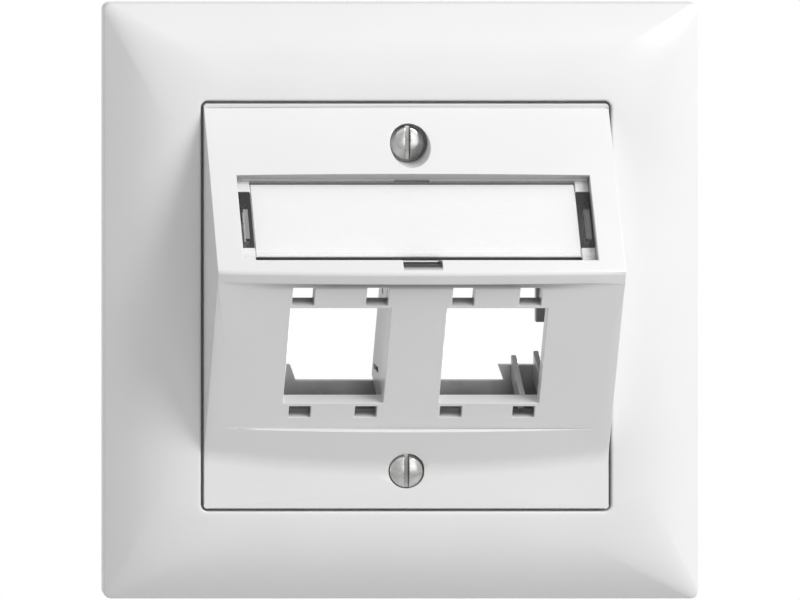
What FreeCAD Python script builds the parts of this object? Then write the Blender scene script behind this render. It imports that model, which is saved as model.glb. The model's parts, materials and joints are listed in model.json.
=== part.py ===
import FreeCAD
import Part
import math
import os

# Angled keystone outlet faceplate for one gang: a crowned cover frame, an outlet
# insert with a sloping hood for two keystone jacks, a label strip under a clip-in
# clear window, two fixing screws and the steel mounting plate behind them.
#
# Axes: X to the right, Z up, and the front faces -Y.  The wall is the plane Y = 0
# and the origin is the middle of the faceplate on the wall.  "Out" is the distance
# that a thing stands out from the wall.  All sizes are in millimetres.

# Cover frame
FRAME_SIDE = 88.0
FRAME_CORNER_RADIUS = 1.2
FRAME_CORNER_SWELL = 0.85      # growth of the corner radius for each mm inwards
FRAME_EDGE_OUT = 2.4           # height of the square outer edge
FACE_OUT = 7.6                 # height of the frame's inner rim and of the insert
FRAME_CROWN_POWER = 2.4        # how early the pillow flattens towards the window
FRAME_WALL = 1.8
WINDOW_SIDE = 60.4
WINDOW_CORNER_RADIUS = 1.1
COLLAR_WALL = 1.6
LEDGE_WIDTH = 2.2              # shelf round the window that the insert clamps
LEDGE_THICKNESS = 1.4
RIB_THICKNESS = 1.2
RIB_OFFSET = 15.0
RIB_CLEARANCE = 0.6            # between the ribs and the mounting plate
CROWN_SECTIONS = 6
CROWN_DEGREE = 2
HOLLOW_SECTIONS = 3            # the hollow behind the crown is plainer

# Outlet insert and its hood
INSERT_GAP = 0.3               # between the insert and the frame's window
INSERT_CORNER_RADIUS = 0.8
INSERT_THICKNESS = 2.4
RIDGE_Z = 7.3
RIDGE_HEIGHT = 15.6            # above the insert's face, at the hood's sides
RIDGE_CROWN = 1.65             # how much more the ridge stands out in its middle
RIDGE_SOFTENING = 0.3          # flat taken off the ridge, on each slope
FOOT_Z = -21.7                 # where the lower slope meets the flat, at the sides
FOOT_CROWN = 1.1
FOOT_RADIUS = 5.0
FOOT_OVERRUN = 0.4             # how far the slope runs on inside the flat plate
HOOD_WALL = 2.0
CAVITY_TOP_Z = 26.8

# Flat panel let into the lower slope, its two ports and their latch windows
PANEL_RISE = 0.15              # above the plane through the slope's side edges
PANEL_TOP_Z = 5.6
PANEL_FOOT = -28.2             # along the slope, from the ridge
PORT_WIDTH = 14.7
PORT_HEIGHT = 17.2
PORT_SPACING = 22.9
PORT_MIDDLE = -15.0            # along the slope, from the ridge
LATCH_WINDOW_WIDTH = 3.2
UPPER_LATCH_PLACES = ((-5.6, 5.2), (-5.1, 4.7))   # left port, right port, from its middle
LOWER_LATCH_PLACES = ((-4.8, 4.9), (-5.5, 5.2))
UPPER_LATCH_HEIGHT = 3.2
LOWER_LATCH_HEIGHT = 2.0
UPPER_LATCH_BAR = 0.45
LOWER_LATCH_BAR = 0.6
WEB_WALL = 1.4
WEB_DEPTH = 11.3
WEB_TOP = -4.6                 # along the slope, from the ridge
WEB_FOOT = -27.0
WEB_SLIT_HEIGHT = 0.7
WEB_SLIT_LENGTH = 4.4
WEB_SLIT_OUT = 4.9
WEB_SLIT_Z = -9.5
WEB_HOLE_RADIUS = 0.5
WEB_HOLE_OUT = 11.6
WEB_HOLE_Z = 2.9
REST_PLACES = (5.3, 8.6)       # ribs behind the right port, outwards from its middle
REST_TOPS = (-23.8, -23.25)    # along the slope, from the ridge
REST_FOOT = -27.0
REST_THICKNESS = 0.8
REST_GAP = 0.3                 # between the ribs and the mounting plate

# Label recess in the upper slope, along the slope from the ridge
RECESS_WIDTH = 51.8
RECESS_LOW = 2.0
RECESS_HIGH = 15.75
RECESS_DEPTH = 2.0
RECESS_LOW_TILT = 27.0         # lean of the lower wall, in degrees off square
TRAY_FLOOR = 1.4
TRAY_MARGIN = 1.4
GROOVE_WIDTH = 0.45
GROOVE_DEPTH = 0.9
CLIP_SLOT_WIDTH = 2.0
CLIP_SLOT_LENGTH = 9.1
CLIP_SLOT_MIDDLE = 9.4
CATCH_WIDTH = 5.1
CATCH_DEPTH = 0.8
CLIP_BOX_WALL = 0.9            # blind box behind each clip slot
CLIP_BOX_GAP = 0.5             # between its floor and the clip arm
PAD_RISE = 0.45                # of the four corners of the recess that carry the pane
CATCH_HEIGHT = 0.7
PRY_WIDTH = 5.7
PRY_START = -0.3               # along the slope, from the ridge at the sides
PRY_BEND = (1.1, 0.45)         # along and off the slope, where the notch grows steep

# Label strip and its clear window
LABEL_END_GAP = 0.2            # between the strip and the clip slots
LABEL_THICKNESS = 0.2
LABEL_MARGIN = 0.05
PANE_CLEARANCE = 0.25
PANE_LIFT = 0.05               # of the pane above its pads
PANE_THICKNESS = 1.0
ARM_THICKNESS = 0.55
ARM_LENGTH = 4.7
ARM_MIDDLE = 8.15
ARM_REACH = 5.0                # below the plane through the slope's side edges
ARM_CLEARANCE = 0.3
BARB_REACH = 0.35
BARB_HEIGHT = 0.7

# Screws
SCREW_SPACING = 48.4
SCREW_HEAD_RADIUS = 2.5
SCREW_HEAD_HEIGHT = 1.3
SCREW_DOME_RISE = 0.6
SCREW_DOME_STEPS = 2           # cones that make up the dome
SCREW_SLOT_WIDTH = 0.7
SCREW_SLOT_DEPTH = 0.9
SCREW_SHANK_RADIUS = 1.45
SCREW_LENGTH = 6.0
SCREW_HOLE_RADIUS = 1.7
UPPER_SEAT_OUT = 7.2           # floor of the upper screw's pocket
LOWER_SEAT_OUT = 6.2
POCKET_RADIUS = 2.95
COUNTERBORE_RADIUS = 2.65
POCKET_WALL = 1.2
BOSS_RADIUS = 3.4
BOSS_GAP = 0.3                 # between the bosses and the plate's collars

# Mounting plate
PLATE_SIDE = 70.0
PLATE_CORNER_RADIUS = 4.0
PLATE_THICKNESS = 1.2
PLATE_OPENING_WIDTH = 45.0
PLATE_OPENING_HEIGHT = 19.2
PLATE_NECK_WIDTH = 30.8        # the deeper middle of the opening
PLATE_NECK_HEIGHT = 23.8
PLATE_NECK_LEAN = 0.8          # lean of its sides, the same when the plate is upside down
PLATE_LUG_REACH = 2.4          # of the two side lugs into the opening
PLATE_LUG_HEIGHT = 6.6
BOX_SCREW_SPACING = 60.0
BOX_SLOT_WIDTH = 3.4
BOX_SLOT_LENGTH = 7.0
COLLAR_RADIUS = 2.3
COLLAR_HEIGHT = 2.0
THREAD_RADIUS = 1.5

# Worked out from the above
FRAME_HALF = FRAME_SIDE / 2
WINDOW_HALF = WINDOW_SIDE / 2
CROWN_BAND = FRAME_HALF - WINDOW_HALF
CROWN_RISE = FACE_OUT - FRAME_EDGE_OUT
INSERT_HALF = WINDOW_HALF - INSERT_GAP
INSERT_BACK = FACE_OUT - INSERT_THICKNESS
LEDGE_BACK = INSERT_BACK - LEDGE_THICKNESS
HOOD_TOP_Z = INSERT_HALF - INSERT_CORNER_RADIUS
RIDGE_OUT = FACE_OUT + RIDGE_HEIGHT
UPPER_SLOPE = math.atan2(RIDGE_HEIGHT, HOOD_TOP_Z - RIDGE_Z)
LOWER_SLOPE = math.atan2(RIDGE_HEIGHT, RIDGE_Z - FOOT_Z)
PORT_HALF = PORT_WIDTH / 2
PORT_TOP = PORT_MIDDLE + PORT_HEIGHT / 2
PORT_FOOT = PORT_MIDDLE - PORT_HEIGHT / 2
WEB_HALF = PORT_SPACING / 2 - PORT_HALF
RECESS_HALF = RECESS_WIDTH / 2
LABEL_HALF = RECESS_HALF - CLIP_SLOT_WIDTH - LABEL_END_GAP
RECESS_FLOOR_LOW = RECESS_LOW + RECESS_DEPTH * math.tan(math.radians(RECESS_LOW_TILT))
STRIP_LOW = RECESS_FLOOR_LOW + GROOVE_WIDTH
STRIP_HIGH = RECESS_HIGH - GROOVE_WIDTH
STRIP_SPACE = RECESS_HALF - CLIP_SLOT_WIDTH
CLIP_SLOT_LOW = CLIP_SLOT_MIDDLE - CLIP_SLOT_LENGTH / 2
CLIP_SLOT_HIGH = CLIP_SLOT_MIDDLE + CLIP_SLOT_LENGTH / 2
CLIP_SLOT_DEPTH = ARM_REACH + CLIP_BOX_GAP
SCREW_Z = SCREW_SPACING / 2
COLLAR_OUT = PLATE_THICKNESS + COLLAR_HEIGHT
BOSS_BACK = COLLAR_OUT + BOSS_GAP
CLEAR = 20.0                   # how far a cutting tool runs on past the work
OVERRUN = 1.0                  # the same where there is something behind
NEAR = 0.01                    # tolerance when an edge is picked by its place
EDGE_STEPS = 4
QUARTER_TURN = 90              # degrees


def block(x_range, out_range, z_range):
    """A box between two places on each axis."""
    corner = FreeCAD.Vector(x_range[0], -out_range[1], z_range[0])
    return Part.makeBox(x_range[1] - x_range[0], out_range[1] - out_range[0],
                        z_range[1] - z_range[0], corner)


def rounded_outline(half_side, radius, out):
    """A closed square outline with round corners, parallel to the wall."""
    def corner_point(quarter, degrees):
        side_x, side_z = ((1, 1), (-1, 1), (-1, -1), (1, -1))[quarter]
        angle = math.radians(degrees)
        return FreeCAD.Vector(side_x * (half_side - radius) + radius * math.cos(angle), -out,
                              side_z * (half_side - radius) + radius * math.sin(angle))

    edges = []
    for quarter in range(4):
        start = QUARTER_TURN * quarter
        first, middle, last = (corner_point(quarter, start + turn)
                               for turn in (0, QUARTER_TURN / 2, QUARTER_TURN))
        edges.append(Part.Arc(first, middle, last).toShape())
        following = corner_point((quarter + 1) % 4, start + QUARTER_TURN)
        edges.append(Part.LineSegment(last, following).toShape())
    return Part.Wire(edges)


def rounded_prism(half_side, radius, back, front):
    """A square bar with round corners that stands out from the wall."""
    face = Part.Face(rounded_outline(half_side, radius, back))
    return face.extrude(FreeCAD.Vector(0, back - front, 0))


def post(radius, back, front, z, x=0.0):
    """A round bar that stands out from the wall."""
    return Part.makeCylinder(radius, front - back, FreeCAD.Vector(x, -back, z),
                             FreeCAD.Vector(0, -1, 0))


def side_profile(points, x_range):
    """A prism along X from (out, z) points."""
    corners = [FreeCAD.Vector(x_range[0], -out, z) for out, z in points]
    face = Part.Face(Part.makePolygon(corners + corners[:1]))
    return face.extrude(FreeCAD.Vector(x_range[1] - x_range[0], 0, 0))


def on_slope(shape, slope, upward):
    """Set a shape, made with Y up a slope and Z off it, on the hood's upper or lower slope."""
    turn = QUARTER_TURN - math.degrees(slope) if upward else QUARTER_TURN + math.degrees(slope)
    rotation = FreeCAD.Rotation(FreeCAD.Vector(1, 0, 0), turn)
    ridge = FreeCAD.Vector(0, -RIDGE_OUT, RIDGE_Z)
    shape.Placement = FreeCAD.Placement(ridge, rotation)
    return shape


def slope_block(x_range, along, off, upward):
    """A box on a slope: along is up the slope from the ridge, off is out from its side edges."""
    box = Part.makeBox(x_range[1] - x_range[0], along[1] - along[0], off[1] - off[0],
                       FreeCAD.Vector(x_range[0], along[0], off[0]))
    return on_slope(box, UPPER_SLOPE if upward else LOWER_SLOPE, upward)


def upper_profile(points, half_width):
    """A prism along X on the upper slope from (along, off) points."""
    corners = [FreeCAD.Vector(-half_width, along, off) for along, off in points]
    face = Part.Face(Part.makePolygon(corners + corners[:1]))
    return on_slope(face.extrude(FreeCAD.Vector(2 * half_width, 0, 0)), UPPER_SLOPE, True)


def mirrored(x_low, x_high):
    """A stretch of X and its mirror image."""
    return ((x_low, x_high), (-x_high, -x_low))


def crown_out(share):
    """The pillow's height at a share of the way in from the outer edge to the window."""
    return FACE_OUT - CROWN_RISE * (1 - share) ** FRAME_CROWN_POWER


def crown_tilt(share):
    """The pillow's angle there, in radians."""
    steepness = FRAME_CROWN_POWER * CROWN_RISE / CROWN_BAND
    return math.atan(steepness * (1 - share) ** (FRAME_CROWN_POWER - 1))


def crown_outline(share, wall, swell):
    """The pillow's outline at a share of the way in, or of its hollow a wall inside it."""
    inset = CROWN_BAND * share
    tilt = crown_tilt(share)
    half_side = FRAME_HALF - inset - wall * math.sin(tilt)
    return rounded_outline(half_side, FRAME_CORNER_RADIUS + swell * inset,
                           crown_out(share) - wall * math.cos(tilt))


def frame_outside():
    """The frame's full outside: a square skirt under a smooth crown."""
    outlines = [crown_outline(section / CROWN_SECTIONS, 0, FRAME_CORNER_SWELL)
                for section in range(CROWN_SECTIONS + 1)]
    crown = Part.makeLoft(outlines, True, False, False, CROWN_DEGREE)
    return crown.fuse(rounded_prism(FRAME_HALF, FRAME_CORNER_RADIUS, 0, FRAME_EDGE_OUT))


def frame_inside():
    """The hollow behind the crown, a wall inside the outside."""
    outlines = [crown_outline(section / HOLLOW_SECTIONS, FRAME_WALL, 0)
                for section in range(HOLLOW_SECTIONS + 1)]
    crown = Part.makeLoft(outlines, True, True)
    rim_half = FRAME_HALF - FRAME_WALL * math.sin(crown_tilt(0))
    rim_front = FRAME_EDGE_OUT - FRAME_WALL * math.cos(crown_tilt(0))
    rim = rounded_prism(rim_half, FRAME_CORNER_RADIUS, 0, rim_front)
    room = rounded_prism(FRAME_HALF - FRAME_WALL, FRAME_CORNER_RADIUS, 0, FACE_OUT)
    return crown.fuse(rim).common(room)


def make_cover_frame():
    """Crowned square frame, hollow at the back, with a shelf round its window."""
    outside = frame_outside()
    inside = frame_inside()
    collar = rounded_prism(WINDOW_HALF + COLLAR_WALL, WINDOW_CORNER_RADIUS + COLLAR_WALL,
                           LEDGE_BACK, FACE_OUT).common(outside)
    ribs = []
    rib_back = PLATE_THICKNESS + RIB_CLEARANCE
    for quarter in range(4):
        for place in (-RIB_OFFSET, RIB_OFFSET):
            rib = block((place - RIB_THICKNESS / 2, place + RIB_THICKNESS / 2),
                        (rib_back, FACE_OUT), (WINDOW_HALF, FRAME_HALF)).common(inside)
            rib.rotate(FreeCAD.Vector(), FreeCAD.Vector(0, 1, 0), QUARTER_TURN * quarter)
            ribs.append(rib)
    frame = outside.cut(inside).fuse([collar] + ribs)
    frame = frame.cut(rounded_prism(WINDOW_HALF, WINDOW_CORNER_RADIUS, INSERT_BACK, FACE_OUT + CLEAR))
    opening_half = WINDOW_HALF - LEDGE_WIDTH
    frame = frame.cut(rounded_prism(opening_half, WINDOW_CORNER_RADIUS, 0, FACE_OUT))
    return frame.removeSplitter()


def hood_ridge_z(wall):
    """Height of the ridge of the hood's body, or of the hollow a wall inside it."""
    upper = math.tan(UPPER_SLOPE)
    lower = math.tan(LOWER_SLOPE)
    shift = wall / math.cos(LOWER_SLOPE) - wall / math.cos(UPPER_SLOPE)
    return RIDGE_Z + shift / (upper + lower)


def lower_slope_z(out, wall):
    """Height at which the lower slope, a wall inside it, stands out this far."""
    reach = RIDGE_OUT - wall / math.cos(LOWER_SLOPE)
    return RIDGE_Z - (reach - out) / math.tan(LOWER_SLOPE)


def upper_slope_out(z, wall):
    """How far the upper slope, a wall inside it, stands out at this height."""
    return FACE_OUT + (HOOD_TOP_Z - z) * math.tan(UPPER_SLOPE) - wall / math.cos(UPPER_SLOPE)


def level_outline(z, front, bulge, back):
    """A level section of the hood: three straight sides and a front that swells by a bulge."""
    corners = [FreeCAD.Vector(side * INSERT_HALF, -out, z)
               for side, out in ((-1, front), (-1, back), (1, back), (1, front))]
    edges = [Part.LineSegment(corners[i], corners[i + 1]).toShape() for i in range(3)]
    if bulge > 0:
        middle = FreeCAD.Vector(0, -front - bulge, z)
        edges.append(Part.Arc(corners[3], middle, corners[0]).toShape())
    else:
        edges.append(Part.LineSegment(corners[3], corners[0]).toShape())
    return Part.Wire(edges)


def hood_body():
    """The hood's outside, full, between a straight top edge, a bowed ridge and a bowed foot."""
    low_out = INSERT_BACK + FOOT_OVERRUN
    low_z = lower_slope_z(low_out, 0)
    crown_loss = (RIDGE_CROWN - FOOT_CROWN) / (RIDGE_Z - FOOT_Z)
    low_crown = RIDGE_CROWN - crown_loss * (RIDGE_Z - low_z)
    top = level_outline(HOOD_TOP_Z, FACE_OUT, 0, INSERT_BACK)
    ridge = level_outline(RIDGE_Z, RIDGE_OUT, RIDGE_CROWN, INSERT_BACK)
    foot = level_outline(low_z, low_out, low_crown, INSERT_BACK)
    return Part.makeLoft([top, ridge], True, True).fuse(Part.makeLoft([ridge, foot], True, True))


def hood_hollow():
    """The space inside the hood, open at the back."""
    half = INSERT_HALF - HOOD_WALL
    ridge_z = hood_ridge_z(HOOD_WALL)
    low_z = lower_slope_z(INSERT_BACK, HOOD_WALL)
    back = INSERT_BACK - CLEAR
    points = [(back, CAVITY_TOP_Z), (upper_slope_out(CAVITY_TOP_Z, HOOD_WALL), CAVITY_TOP_Z),
              (upper_slope_out(ridge_z, HOOD_WALL), ridge_z), (INSERT_BACK, low_z), (back, low_z)]
    return side_profile(points, (-half, half))


def edges_at(shape, test):
    """The edges whose every point passes a test of x, out and z."""
    chosen = []
    for edge in shape.Edges:
        first, last = edge.ParameterRange
        points = [edge.valueAt(first + (last - first) * step / EDGE_STEPS)
                  for step in range(EDGE_STEPS + 1)]
        if all(test(point.x, -point.y, point.z) for point in points):
            chosen.append(edge)
    return chosen


def hood_outside():
    """The insert's plate and hood as one full body with its soft edges."""
    body = hood_body().fuse(rounded_prism(INSERT_HALF, INSERT_CORNER_RADIUS, INSERT_BACK, FACE_OUT))
    body = body.removeSplitter()
    foot = edges_at(body, lambda x, out, z: abs(out - FACE_OUT) < NEAR and FOOT_Z - FOOT_RADIUS < z
                    and z < FOOT_Z + NEAR and abs(x) < INSERT_HALF + NEAR)
    foot = [edge for edge in foot if edge.Length > INSERT_HALF]
    body = body.makeFillet(FOOT_RADIUS, foot)
    ridge = edges_at(body, lambda x, out, z: abs(z - RIDGE_Z) < NEAR and out > RIDGE_OUT - NEAR)
    return body.makeChamfer(RIDGE_SOFTENING, ridge)


def panel_cut():
    """What is taken off the lower slope to leave the flat panel for the ports."""
    width = (-INSERT_HALF - CLEAR, INSERT_HALF + CLEAR)
    slab = slope_block(width, (PANEL_FOOT, CLEAR), (PANEL_RISE, CLEAR), False)
    below = block(width, (0, RIDGE_OUT + CLEAR), (FOOT_Z - CLEAR, PANEL_TOP_Z))
    return slab.common(below)


def port_cuts():
    """The two ports and the four latch windows of each, through the panel."""
    cuts = []
    through = (-HOOD_WALL - OVERRUN, CLEAR)
    rows = ((PORT_TOP + UPPER_LATCH_BAR, UPPER_LATCH_HEIGHT, UPPER_LATCH_PLACES),
            (PORT_FOOT - LOWER_LATCH_BAR - LOWER_LATCH_HEIGHT, LOWER_LATCH_HEIGHT,
             LOWER_LATCH_PLACES))
    for port, middle in enumerate((-PORT_SPACING / 2, PORT_SPACING / 2)):
        cuts.append(slope_block((middle - PORT_HALF, middle + PORT_HALF),
                                (PORT_FOOT, PORT_TOP), through, False))
        for low, height, places in rows:
            for place in places[port]:
                window = middle + place
                span = (window - LATCH_WINDOW_WIDTH / 2, window + LATCH_WINDOW_WIDTH / 2)
                cuts.append(slope_block(span, (low, low + height), through, False))
    return cuts


def jack_rests():
    """The two ribs behind the right port that carry the outer side of its jack."""
    room = block((-INSERT_HALF, INSERT_HALF), (PLATE_THICKNESS + REST_GAP, RIDGE_OUT),
                 (FOOT_Z, RIDGE_Z))
    rests = []
    for place, top in zip(REST_PLACES, REST_TOPS):
        middle = PORT_SPACING / 2 + place
        span = (middle - REST_THICKNESS / 2, middle + REST_THICKNESS / 2)
        rests.append(slope_block(span, (REST_FOOT, top), (-RIDGE_OUT, 0), False).common(room))
    return rests


def label_tray():
    """The floor and walls behind the label recess, with a blind box behind each clip slot."""
    parts = [slope_block((-INSERT_HALF, INSERT_HALF),
                         (RECESS_LOW - TRAY_MARGIN, RECESS_HIGH + TRAY_MARGIN),
                         (-RECESS_DEPTH - TRAY_FLOOR, 0), True)]
    for span in mirrored(STRIP_SPACE - CLIP_BOX_WALL, RECESS_HALF + CLIP_BOX_WALL):
        parts.append(slope_block(span, (CLIP_SLOT_LOW - CLIP_BOX_WALL, CLIP_SLOT_HIGH + CLIP_BOX_WALL),
                                 (-CLIP_SLOT_DEPTH - CLIP_BOX_WALL, 0), True))
    return parts


def recess_cuts():
    """The label recess with its raised corner pads, and its grooves, slots and two notches."""
    lean = math.tan(math.radians(RECESS_LOW_TILT))
    recess = upper_profile([(RECESS_FLOOR_LOW, -RECESS_DEPTH), (RECESS_HIGH, -RECESS_DEPTH),
                            (RECESS_HIGH, RECESS_DEPTH),
                            (RECESS_LOW - RECESS_DEPTH * lean, RECESS_DEPTH)], RECESS_HALF)
    cuts = []
    for span in mirrored(STRIP_SPACE, RECESS_HALF):
        recess = recess.cut(slope_block(span, (0, RECESS_HIGH), (-RECESS_DEPTH, PAD_RISE - RECESS_DEPTH),
                                        True))
        cuts.append(slope_block(span, (CLIP_SLOT_LOW, CLIP_SLOT_HIGH), (-CLIP_SLOT_DEPTH, 0), True))
    for low in (RECESS_FLOOR_LOW, STRIP_HIGH):
        cuts.append(slope_block((-STRIP_SPACE, STRIP_SPACE), (low, low + GROOVE_WIDTH),
                                (-RECESS_DEPTH - GROOVE_DEPTH, -RECESS_DEPTH), True))
    cuts.append(slope_block((-CATCH_WIDTH / 2, CATCH_WIDTH / 2), (STRIP_HIGH, RECESS_HIGH + CATCH_DEPTH),
                            (-RECESS_DEPTH, CATCH_HEIGHT - RECESS_DEPTH), True))
    cuts.append(upper_profile([(PRY_START, RIDGE_CROWN * math.cos(UPPER_SLOPE)), PRY_BEND,
                               (RECESS_LOW, -RECESS_DEPTH), (RECESS_FLOOR_LOW, -RECESS_DEPTH),
                               (RECESS_FLOOR_LOW, CLEAR), (PRY_START, CLEAR)], PRY_WIDTH / 2))
    return [recess] + cuts


def make_outlet_hood():
    """Insert plate, hood, port panel, label recess and screw bosses in one moulding."""
    outside = hood_outside()
    pocket = post(POCKET_RADIUS + POCKET_WALL, INSERT_BACK, RIDGE_OUT, SCREW_Z)
    web = [slope_block(span, (WEB_FOOT, WEB_TOP), (-WEB_DEPTH, 0), False)
           for span in mirrored(WEB_HALF - WEB_WALL, WEB_HALF)]
    inner = [part.common(outside) for part in label_tray() + [pocket]]
    bosses = [post(BOSS_RADIUS, BOSS_BACK, LOWER_SEAT_OUT, z) for z in (-SCREW_Z, SCREW_Z)]
    hood = outside.cut(hood_hollow()).fuse(inner + web + bosses + jack_rests())

    cuts = [panel_cut()] + port_cuts()
    slit_out = (WEB_SLIT_OUT - WEB_SLIT_LENGTH / 2, WEB_SLIT_OUT + WEB_SLIT_LENGTH / 2)
    slit_z = (WEB_SLIT_Z - WEB_SLIT_HEIGHT / 2, WEB_SLIT_Z + WEB_SLIT_HEIGHT / 2)
    cuts.append(block((-WEB_HALF - OVERRUN, WEB_HALF + OVERRUN), slit_out, slit_z))
    cuts.append(Part.makeCylinder(WEB_HOLE_RADIUS, PORT_SPACING,
                                  FreeCAD.Vector(-PORT_SPACING / 2, -WEB_HOLE_OUT, WEB_HOLE_Z),
                                  FreeCAD.Vector(1, 0, 0)))
    cuts += recess_cuts()
    cuts.append(post(POCKET_RADIUS, UPPER_SEAT_OUT, RIDGE_OUT, SCREW_Z))
    cuts.append(post(COUNTERBORE_RADIUS, LOWER_SEAT_OUT, RIDGE_OUT, -SCREW_Z))
    for z in (-SCREW_Z, SCREW_Z):
        cuts.append(post(SCREW_HOLE_RADIUS, 0, RIDGE_OUT, z))
    return hood.cut(cuts).removeSplitter()


def make_label_strip():
    """Blank card strip on the floor of the recess."""
    return slope_block((-LABEL_HALF, LABEL_HALF),
                       (STRIP_LOW + LABEL_MARGIN, STRIP_HIGH - LABEL_MARGIN),
                       (-RECESS_DEPTH, LABEL_THICKNESS - RECESS_DEPTH), True)


def make_label_window():
    """Clear pane over the strip, with a barbed clip arm at each end."""
    half = RECESS_HALF - PANE_CLEARANCE
    under = PAD_RISE + PANE_LIFT - RECESS_DEPTH
    low = RECESS_FLOOR_LOW + PANE_CLEARANCE
    high = RECESS_HIGH - PANE_CLEARANCE
    pieces = [slope_block((-half, half), (low, high), (under, under + PANE_THICKNESS), True)]
    arm_inner = RECESS_HALF - CLIP_SLOT_WIDTH + ARM_CLEARANCE
    arm_along = (ARM_MIDDLE - ARM_LENGTH / 2, ARM_MIDDLE + ARM_LENGTH / 2)
    for span in mirrored(arm_inner, arm_inner + ARM_THICKNESS):
        pieces.append(slope_block(span, arm_along, (-ARM_REACH, under), True))
    for span in mirrored(arm_inner, arm_inner + ARM_THICKNESS + BARB_REACH):
        pieces.append(slope_block(span, arm_along, (-ARM_REACH, BARB_HEIGHT - ARM_REACH), True))
    return pieces[0].fuse(pieces[1:]).removeSplitter()


def make_screw(z, seat_out):
    """Slotted screw with a low domed head; the slot stands upright."""
    crown = SCREW_HEAD_HEIGHT + SCREW_DOME_RISE
    dome_radius = (SCREW_HEAD_RADIUS ** 2 + SCREW_DOME_RISE ** 2) / (2 * SCREW_DOME_RISE)
    profile = [(0, 0), (SCREW_HEAD_RADIUS, 0)]
    for step in range(SCREW_DOME_STEPS + 1):
        radius = SCREW_HEAD_RADIUS * (1 - step / SCREW_DOME_STEPS)
        drop = dome_radius - math.sqrt(dome_radius ** 2 - radius ** 2)
        profile.append((radius, crown - drop))
    corners = [FreeCAD.Vector(radius, 0, height) for radius, height in profile]
    face = Part.Face(Part.makePolygon(corners + corners[:1]))
    head = face.revolve(FreeCAD.Vector(), FreeCAD.Vector(0, 0, 1), 360)
    shank = Part.makeCylinder(SCREW_SHANK_RADIUS, SCREW_LENGTH, FreeCAD.Vector(0, 0, -SCREW_LENGTH))
    slot_reach = SCREW_HEAD_RADIUS + OVERRUN
    slot = Part.makeBox(SCREW_SLOT_WIDTH, 2 * slot_reach, SCREW_SLOT_DEPTH + OVERRUN,
                        FreeCAD.Vector(-SCREW_SLOT_WIDTH / 2, -slot_reach,
                                       crown - SCREW_SLOT_DEPTH))
    screw = head.fuse(shank).cut(slot).removeSplitter()
    screw.Placement = FreeCAD.Placement(FreeCAD.Vector(0, -seat_out, z),
                                        FreeCAD.Rotation(FreeCAD.Vector(1, 0, 0), QUARTER_TURN))
    return screw


def box_slot(middle):
    """Level slot for a wall-box screw."""
    reach = (BOX_SLOT_LENGTH - BOX_SLOT_WIDTH) / 2
    radius = BOX_SLOT_WIDTH / 2
    ends = [post(radius, 0, PLATE_THICKNESS, 0, middle + side * reach) for side in (-1, 1)]
    between = block((middle - reach, middle + reach), (0, PLATE_THICKNESS), (-radius, radius))
    return between.fuse(ends)


def make_mounting_plate():
    """Pressed steel plate: stepped opening, two box-screw slots and two tapped collars."""
    thickness = (0, PLATE_THICKNESS)
    plate = rounded_prism(PLATE_SIDE / 2, PLATE_CORNER_RADIUS, 0, PLATE_THICKNESS)
    half_width = PLATE_OPENING_WIDTH / 2
    half_height = PLATE_OPENING_HEIGHT / 2
    opening = block((-half_width, half_width), thickness, (-half_height, half_height))
    neck_half = PLATE_NECK_WIDTH / 2
    neck_low = PLATE_NECK_HEIGHT / 2
    lower_half = ((-neck_half - PLATE_NECK_LEAN, -half_height), (-neck_half, -neck_low),
                  (neck_half, -neck_low), (neck_half - PLATE_NECK_LEAN, -half_height))
    upper_half = tuple((-x, -z) for x, z in lower_half)
    outline = [FreeCAD.Vector(x, 0, z) for x, z in lower_half + upper_half]
    neck = Part.Face(Part.makePolygon(outline + outline[:1]))
    opening = opening.fuse(neck.extrude(FreeCAD.Vector(0, -PLATE_THICKNESS, 0)))
    keep = [block(span, thickness, (-PLATE_LUG_HEIGHT / 2, PLATE_LUG_HEIGHT / 2))
            for span in mirrored(half_width - PLATE_LUG_REACH, half_width)]
    plate = plate.cut(opening.cut(keep))
    for z in (-SCREW_Z, SCREW_Z):
        plate = plate.fuse(post(COLLAR_RADIUS, 0, COLLAR_OUT, z))
        plate = plate.cut(post(THREAD_RADIUS, 0, COLLAR_OUT, z))
    for middle in (-BOX_SCREW_SPACING / 2, BOX_SCREW_SPACING / 2):
        plate = plate.cut(box_slot(middle))
    return plate.removeSplitter()


PIECES = {
    "cover_frame": make_cover_frame,
    "outlet_hood": make_outlet_hood,
    "label_strip": make_label_strip,
    "label_window": make_label_window,
    "upper_screw": lambda: make_screw(SCREW_Z, UPPER_SEAT_OUT),
    "lower_screw": lambda: make_screw(-SCREW_Z, LOWER_SEAT_OUT),
    "mounting_plate": make_mounting_plate,
}

os.makedirs("parts", exist_ok=True)
for name, make in PIECES.items():
    shape = make()
    print(name, "solids", len(shape.Solids), "volume", round(shape.Volume, 2), "valid", shape.isValid())
    shape.exportStep("parts/" + name + ".step")
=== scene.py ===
"""Finish, light and camera for an angled keystone faceplate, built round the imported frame."""
import json
import logging
import math
from dataclasses import dataclass
from enum import Enum
from typing import Callable

import bmesh
import bpy
from mathutils import Matrix, Vector

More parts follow.
